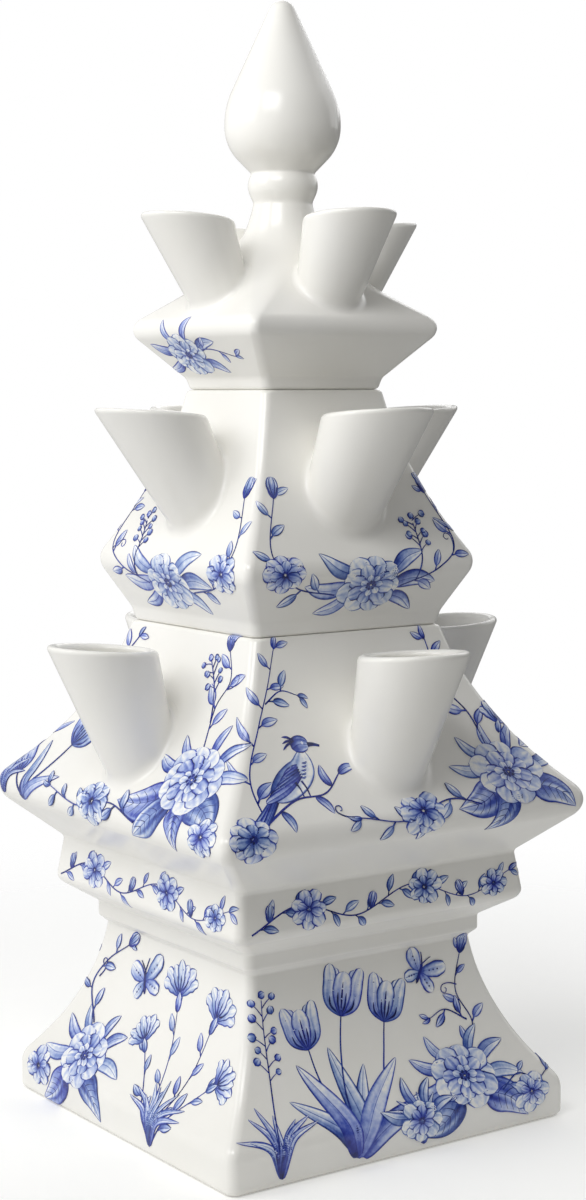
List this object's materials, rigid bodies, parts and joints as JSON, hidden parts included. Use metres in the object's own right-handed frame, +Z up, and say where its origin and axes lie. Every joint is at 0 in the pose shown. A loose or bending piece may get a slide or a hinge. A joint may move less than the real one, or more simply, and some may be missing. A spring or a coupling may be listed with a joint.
{
  "type": "tulip vase",
  "caption": "Pagoda-shaped tulip vase of stacked hollow square tiers, with leaning round spouts on every face for single stems and a bulb finial on top.",
  "frame": {"origin": "on the table, under the middle of the foot", "axes": "+Z up the vase's axis; -Y out of the front face and +X out of the right face"},
  "size_m": [0.2096, 0.2096, 0.436],
  "materials": {
    "white_glaze": "glossy",
    "blue_decoration": "glossy"
  },
  "bodies": {
    "base": {"base_tier": "white_glaze", "base_spout_front": "white_glaze", "base_spout_right": "white_glaze", "base_spout_back": "white_glaze", "base_spout_left": "white_glaze"},
    "middle": {"middle_tier": "white_glaze", "middle_spout_front": "white_glaze", "middle_spout_right": "white_glaze", "middle_spout_back": "white_glaze", "middle_spout_left": "white_glaze"},
    "top": {"top_tier": "white_glaze", "top_spout_front": "white_glaze", "top_spout_right": "white_glaze", "top_spout_back": "white_glaze", "top_spout_left": "white_glaze", "finial": "white_glaze"}
  },
  "joints": [
    {"name": "middle_lift", "type": "slide", "parent": "base", "child": "middle", "axis": [0, 0, 1], "range_m": [0, 0.08]},
    {"name": "top_lift", "type": "slide", "parent": "middle", "child": "top", "axis": [0, 0, 1], "range_m": [0, 0.08]}
  ]
}
